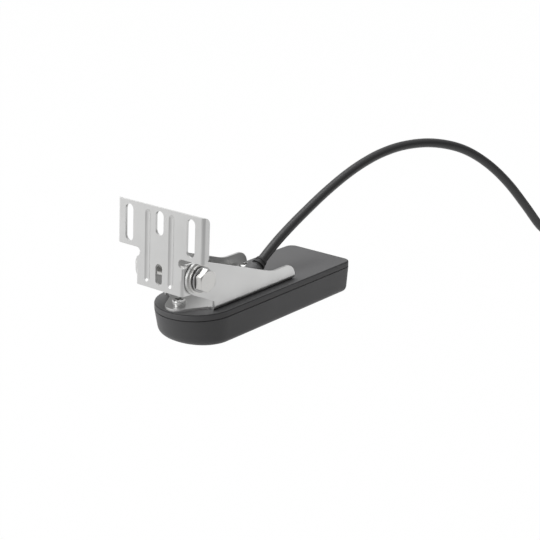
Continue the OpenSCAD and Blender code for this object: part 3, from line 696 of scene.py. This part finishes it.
class SONAR_OT_housing(Operator):
    """Makes the moulded housing and the cover's fine dark line of painted shade, and finishes the cover and
    its seal
    """
    bl_idname = "sonar.housing"
    bl_label = "Housing"

    def execute(self, context):
        tints, settings = context.scene.sonar.finish, context.scene.sonar.housing
        plastic = moulded("housing_plastic", tints.housing, rough=0.5)
        dress(plastic, "housing")
        shell = closed_mesh("housing_shell", housing_rings(settings), caps=True, round_trip=False)
        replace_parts(new_piece("housing_shell", shell, plastic, BODY), "housing")
        dress(moulded("cover_plastic", tints.cover, rough=0.58), "top_cover")
        # The cover's dark line is painted shade: a dark tube sunk along the upper edge, where the edge falls
        # into shade
        line = closed_mesh("painted_shade_line", painted_shade_line_rings(settings), caps=False, round_trip=True)
        shade = moulded("painted_shade_plastic", tints.cable, rough=0.6)
        new_piece("painted_shade_line", line, shade, BODY)
        dress(moulded("seal_rubber", tints.seal, rough=0.7), "cover_seal")
        return {"FINISHED"}


# Brackets and fasteners

class SONAR_OT_brackets(Operator):
    """Finishes both folded steel brackets"""
    bl_idname = "sonar.brackets"
    bl_label = "Brackets"

    def execute(self, context):
        tints = context.scene.sonar.finish
        ears = metal("ear_steel", tints.ear, DRAWN_X, rough=0.42, depth=0.05, bump=0.03)
        # The cover's bracket is darker on its upward faces: painted shade
        dress(paint_upper_light_and_finish(ears, tints.tongue_shade, rough=0.34), "transducer_bracket")
        plate = metal("plate_steel", tints.steel, DRAWN_Z, rough=0.36, depth=0.05, bump=0.03)
        # The plate is lighter on its upward faces, a painted highlight on its upper edges, and rougher there
        # as a sheared edge is
        dress(paint_upper_light_and_finish(plate, tints.edge, rough=0.48), "transom_bracket")
        return {"FINISHED"}


def about_bolt(axis, y, reach, angle):
    """A point at an angle about the bolt's axis, which lies along Y."""
    return (axis.x + reach * math.cos(angle), y, axis.z + reach * math.sin(angle))


def thread_rings(around=36, steps=8):
    """The thread's ridge, as a sleeve on the bolt's shank between the ears."""
    low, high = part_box("pivot_bolt")
    axis = (low + high) / 2
    rows = int(2 * THREAD_END / THREAD_PITCH * steps)
    sections = []
    for k in range(rows + 1):
        y = -THREAD_END + 2 * THREAD_END * k / rows
        fade = min(ease(k / steps), ease((rows - k) / steps))
        section = []
        for j in range(around):
            ridge = 1 - abs(2 * ((y / THREAD_PITCH - j / around) % 1) - 1)
            section.append((y, SHANK_R - THREAD_ROOT + fade * THREAD_H * ridge))
        sections.append(section)
    inner = SHANK_R - THREAD_SLEEVE
    sections += [[(THREAD_END, inner)] * around, [(-THREAD_END, inner)] * around]
    return [[about_bolt(axis, y, r, 2 * math.pi * j / around) for j, (y, r) in enumerate(section)]
            for section in sections]


def spring_rings(around=64, opening=8):
    """Sections of the split spring washer: one turn, open by some degrees, that climbs from the bolt's head
    to the flat washer."""
    low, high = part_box("spring_washer")
    axis = (low + high) / 2
    outer = (high.z - low.z) / 2
    inner = SHANK_R + SPRING_PLAY
    climb = high.y - low.y - SPRING_T
    section = [(inner, 0), (outer - SPRING_EDGE, 0), (outer, SPRING_EDGE), (outer, SPRING_T - SPRING_EDGE),
               (outer - SPRING_EDGE, SPRING_T), (inner, SPRING_T)]
    rings = []
    for k in range(around + 1):
        a = math.radians(SPRING_SPLIT + opening / 2 + (360 - opening) * k / around)
        y = low.y + climb * k / around
        rings.append([about_bolt(axis, y + rise, r, a) for r, rise in section])
    return rings


class SONAR_OT_fasteners(Operator):
    """Makes the bolt's thread and its split washer, and finishes the bolt, nut, washers and screws"""
    bl_idname = "sonar.fasteners"
    bl_label = "Fasteners"

    def execute(self, context):
        tints = context.scene.sonar.finish
        bright = metal("bolt_steel", tints.bolt, TURNED_Y, rough=0.32, depth=0.06, bump=0.03)
        dress(bright, "pivot_bolt", "pivot_nut", "bolt_washer")
        spring = metal("spring_steel", tints.spring, TURNED_Y, rough=0.3, depth=0.06, bump=0.03)
        dress(spring, "spring_washer")
        split = closed_mesh("spring_split", spring_rings(), caps=True, round_trip=False, sharp=40)
        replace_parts(new_piece("spring_split", split, spring, BODY), "spring_washer")
        thread = closed_mesh("bolt_thread", thread_rings(), caps=False, round_trip=True, sharp=30)
        new_piece("bolt_thread", thread, bright, BODY)
        pan = metal("screw_steel", tints.screw, TURNED_Z, rough=0.28, depth=0.06, bump=0.03)
        dress(pan, "nose_screw", "rear_screws", "nose_washer", "rear_washers")
        return {"FINISHED"}


# Ends and tie of the cable

class SONAR_OT_boot(Operator):
    """Finishes the cable's boot"""
    bl_idname = "sonar.boot"
    bl_label = "Boot"

    def execute(self, context):
        dress(moulded("boot_rubber", context.scene.sonar.finish.cable, rough=0.6), "strain_relief")
        return {"FINISHED"}


class SONAR_OT_plug(Operator):
    """Finishes the plug, its collar, contacts and seal"""
    bl_idname = "sonar.plug"
    bl_label = "Plug"

    def execute(self, context):
        tints = context.scene.sonar.finish
        dress(moulded("plug_plastic", tints.plug, rough=0.5), "connector_body", "locking_collar")
        dress(moulded("insert_plastic", tints.plug, rough=0.35), "connector_insert")
        dress(moulded("ring_rubber", tints.seal, rough=0.7), "connector_seal")
        dress(metal("contact_brass", tints.brass, EVEN, rough=0.25), "connector_contacts")
        return {"FINISHED"}


def strap_rings(settings, bend=6):
    """Sections of the strap, once round the turns at the tie and then over its own start."""
    thick, half_w = settings.tie_thick, settings.tie_width / 2
    bundle = COIL_ACROSS * settings.diameter
    inner = math.sqrt((settings.coil_radius - bundle / 2) ** 2 - half_w ** 2) - TIE_GAP * MM - thick / 2
    outer = settings.coil_radius + bundle / 2 + TIE_GAP * MM + thick / 2
    tall = settings.tie_lift + COIL_LAYERS * settings.diameter + TIE_GAP * MM
    wide = outer - inner
    loop = [(wide / 2, 0.0, 0.0, 0.0)]
    for quarter, (side, top) in enumerate(((1, 1), (-1, 1), (-1, -1), (1, -1))):
        for k in range(bend + 1):
            turn = math.pi / 2 * (quarter + k / bend)
            loop.append((side * (wide / 2 - STRAP_CORNER) + STRAP_CORNER * math.cos(turn),
                         top * (tall / 2 - STRAP_CORNER) + STRAP_CORNER * math.sin(turn), turn, 0.0))
    lap = [(x, y, turn, thick * STRAP_LAP) for x, y, turn, _ in loop[:bend + 2]]
    lap.append((0.0, tall / 2, math.pi / 2, thick * STRAP_LAP))
    a = math.radians(TIE_ANGLE)
    away, along = Vector((math.cos(a), math.sin(a), 0.0)), Vector((-math.sin(a), math.cos(a), 0.0))
    centre = COIL_AT * MM + away * (inner + outer) / 2 + Vector((0.0, 0.0, (thick + tall) / 2))
    half_t, edge = thick / 2, STRAP_EDGE
    section = [(half_w, half_t - edge), (half_w - edge, half_t), (edge - half_w, half_t),
               (-half_w, half_t - edge), (-half_w, edge - half_t), (edge - half_w, -half_t),
               (half_w - edge, -half_t), (half_w, edge - half_t)]
    rings = []
    for x, y, turn, lift in loop + lap:
        out = away * math.cos(turn) + Vector((0.0, 0.0, math.sin(turn)))
        base = centre + away * x + Vector((0.0, 0.0, y)) + out * lift
        rings.append([base + along * u + out * v for u, v in section])
    return rings


class SONAR_OT_tie(Operator):
    """Wraps the strap that holds the coil"""
    bl_idname = "sonar.tie"
    bl_label = "Tie"

    def execute(self, context):
        part = context.scene.sonar
        weave = moulded("tie_fabric", part.finish.seal, rough=0.9, cell=900.0, bump=0.8, mottle=0.5)
        shape = closed_mesh("tie_strap", strap_rings(part.cable), caps=True, round_trip=False)
        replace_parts(new_piece("tie_strap", shape, weave, BODY), "coil_tie")
        return {"FINISHED"}


# Inside the housing

class SONAR_OT_elements(Operator):
    """Finishes the pieces sealed inside the housing"""
    bl_idname = "sonar.elements"
    bl_label = "Elements"

    def execute(self, context):
        tints = context.scene.sonar.finish
        foam = moulded("foam", tints.foam, rough=0.95, cell=700.0, bump=0.9, mottle=0.4)
        dress(moulded("ceramic", tints.ceramic, rough=0.45), "sonar_disc", "scan_bar")
        dress(foam, "disc_backing", "bar_backing")
        dress(metal("insert_brass", tints.brass, EVEN, rough=0.3), "screw_inserts", "temperature_probe")
        dress(moulded("board", tints.board, rough=0.4), "circuit_board")
        return {"FINISHED"}


# Stage

def place_camera(scene, stage):
    """Places the camera as the photograph was taken."""
    a, e = stage.azimuth, stage.elevation
    back = Vector((math.sin(a) * math.cos(e), -math.cos(a) * math.cos(e), math.sin(e)))
    right = Vector((math.cos(a), math.sin(a), 0.0))
    up = back.cross(right)
    lens = bpy.data.cameras.new("camera")
    lens.lens, lens.sensor_width = stage.lens, SENSOR
    lens.clip_start, lens.clip_end = NEAR, FAR
    made = bpy.data.objects.new("camera", lens)
    turn = Matrix((right, up, back)).transposed().to_4x4()
    made.matrix_world = Matrix.Translation(Vector(stage.eye)) @ turn
    scene.collection.objects.link(made)
    scene.camera = made


def rays(tree):
    """Masks of the rays that show the white background: from the eye, and mirrored by a surface."""
    path = add(tree, "ShaderNodeLightPath").outputs
    return path["Is Camera Ray"], calc(tree, "MAXIMUM", path["Is Glossy Ray"], path["Is Transmission Ray"])


def paper(stage):
    """The floor's material: white to the eye, graded where metal mirrors it, dim in its bounce."""
    made = bpy.data.materials.new("paper")
    made.use_nodes = True
    tree = made.node_tree
    matt = tree.nodes["Principled BSDF"]
    matt.inputs["Base Color"].default_value = rgba([stage.bounce] * 3)
    matt.inputs["Roughness"].default_value = FLOOR_ROUGH
    eye, mirrored = rays(tree)
    place = add(tree, "ShaderNodeTexCoord").outputs["Object"]
    graded = remap(tree, dot(tree, place, stage.floor_way), span=(stage.floor_from, stage.floor_to),
                   low=stage.floor_dim, high=stage.floor_bright)
    level = remap(tree, eye, low=graded, high=stage.white)
    glow = add(tree, "ShaderNodeEmission", {"Color": WHITE, "Strength": level})
    seen = calc(tree, "MULTIPLY", eye, 1.0 - stage.shadow)
    share = calc(tree, "MULTIPLY_ADD", mirrored, stage.mirror, seen)
    both = add(tree, "ShaderNodeMixShader", {0: share, 1: matt.outputs[0], 2: glow.outputs[0]})
    tree.links.new(both.outputs[0], tree.nodes["Material Output"].inputs["Surface"])
    return made


def lay_floor(scene, stage):
    """Lays the white floor under the object."""
    mesh = bmesh.new()
    bmesh.ops.create_grid(mesh, x_segments=1, y_segments=1, size=FLOOR_HALF)
    shape = bpy.data.meshes.new("floor")
    mesh.to_mesh(shape)
    mesh.free()
    shape.materials.append(paper(stage))
    floor = bpy.data.objects.new("floor", shape)
    floor.location.z = -FLOOR_DROP
    scene.collection.objects.link(floor)


def surround(stage):
    """The world: white to the eye, and graded from its bright side to its dim side for the object."""
    world = bpy.data.worlds.new("surround")
    world.use_nodes = True
    tree = world.node_tree
    eye, mirrored = rays(tree)
    way = add(tree, "ShaderNodeTexCoord").outputs["Generated"]
    facing = dot(tree, way, Vector(stage.bright_side).normalized())
    graded = remap(tree, facing, span=(-1.0, 1.0), low=stage.dim, kind="SMOOTHSTEP")
    power = remap(tree, mirrored, low=stage.fill)
    lit = calc(tree, "MULTIPLY", graded, power)
    level = calc(tree, "MAXIMUM", lit, eye)
    tree.links.new(level, tree.nodes["Background"].inputs["Strength"])
    tree.nodes["Background"].inputs["Color"].default_value = WHITE
    return world


def hang_lamp(scene, name, place, power, size):
    """Hangs a square soft box that points at the object."""
    light = bpy.data.lights.new(name, "AREA")
    light.energy, light.size = power, size
    made = bpy.data.objects.new(name, light)
    made.location = place
    made.rotation_euler = (LAMP_AIM - place).to_track_quat("-Z", "Y").to_euler()
    scene.collection.objects.link(made)


class SONAR_OT_stage(Operator):
    """Makes the camera, the white floor, the graded surround and the lamps"""
    bl_idname = "sonar.stage"
    bl_label = "Stage"

    def execute(self, context):
        scene = context.scene
        stage = scene.sonar.stage
        place_camera(scene, stage)
        lay_floor(scene, stage)
        scene.world = surround(stage)
        hang_lamp(scene, "key_lamp", KEY_AT, stage.key, KEY_SIZE)
        hang_lamp(scene, "side_lamp", SIDE_AT, stage.side, SIDE_SIZE)
        scene.view_settings.view_transform = "Standard"
        return {"FINISHED"}


class SONAR_PT_build(Panel):
    """Lists the steps that dress the transducer, and their settings"""
    bl_label = "Transducer"
    bl_idname = "SONAR_PT_build"
    bl_space_type = "VIEW_3D"
    bl_region_type = "UI"
    bl_category = "Transducer"

    def draw(self, context):
        for step in STEPS:
            self.layout.operator(step.bl_idname)
        part = context.scene.sonar
        for settings in (part.cable, part.housing, part.finish, part.stage):
            for key in settings.__annotations__:
                self.layout.prop(settings, key)


STEPS = (
    SONAR_OT_cable, SONAR_OT_housing, SONAR_OT_brackets, SONAR_OT_fasteners, SONAR_OT_boot, SONAR_OT_plug,
    SONAR_OT_tie, SONAR_OT_elements, SONAR_OT_stage,
)
CLASSES = (
    SONAR_PG_cable, SONAR_PG_housing, SONAR_PG_finish, SONAR_PG_stage, SONAR_PG_part, *STEPS, SONAR_PT_build,
)


def register():
    """Registers the classes and hangs the settings on the scene."""
    for kind in CLASSES:
        bpy.utils.register_class(kind)
    bpy.types.Scene.sonar = PointerProperty(
        name="Transducer", description="Settings of the dressed transducer", type=SONAR_PG_part)


def unregister():
    """Takes back what register does."""
    del bpy.types.Scene.sonar
    for kind in reversed(CLASSES):
        bpy.utils.unregister_class(kind)


def main():
    """Runs the steps in order."""
    register()
    for step in STEPS:
        family, name = step.bl_idname.split(".")
        getattr(getattr(bpy.ops, family), name)()


if __name__ == "__main__":
    main()
